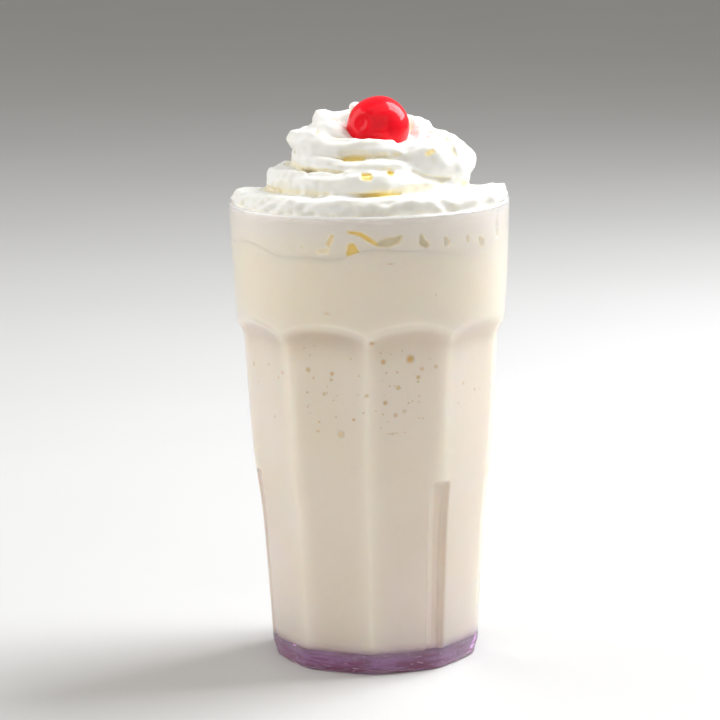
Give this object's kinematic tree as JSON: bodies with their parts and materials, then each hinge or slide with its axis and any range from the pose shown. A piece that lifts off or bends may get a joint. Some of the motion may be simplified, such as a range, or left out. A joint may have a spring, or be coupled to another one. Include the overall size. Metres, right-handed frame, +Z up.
{
  "type": "coconut smoothie in a tumbler",
  "caption": "Fluted see-through tumbler filled with pale coconut smoothie, closed by a piped swirl of whipped cream with a cherry on top.",
  "frame": {"origin": "middle of the tumbler's flat underside, which stands on the table", "axes": "+Z up through the tumbler's mouth; the cherry sits towards -Y, which is the front"},
  "size_m": [0.088, 0.088, 0.1781],
  "materials": {
    "tinted_plastic": "clear moulded plastic with a faint violet tint, glossy",
    "coconut_smoothie": "thick opaque milky drink, cream beige, fine bubbles",
    "whipped_cream": "soft white dairy cream with a low sheen",
    "glazed_cherry": "wet, syrup-glazed saturated red"
  },
  "bodies": {
    "root": {"tumbler": "tinted_plastic", "smoothie": "coconut_smoothie", "whipped_cream": "whipped_cream", "cherry": "glazed_cherry"}
  },
  "joints": []
}
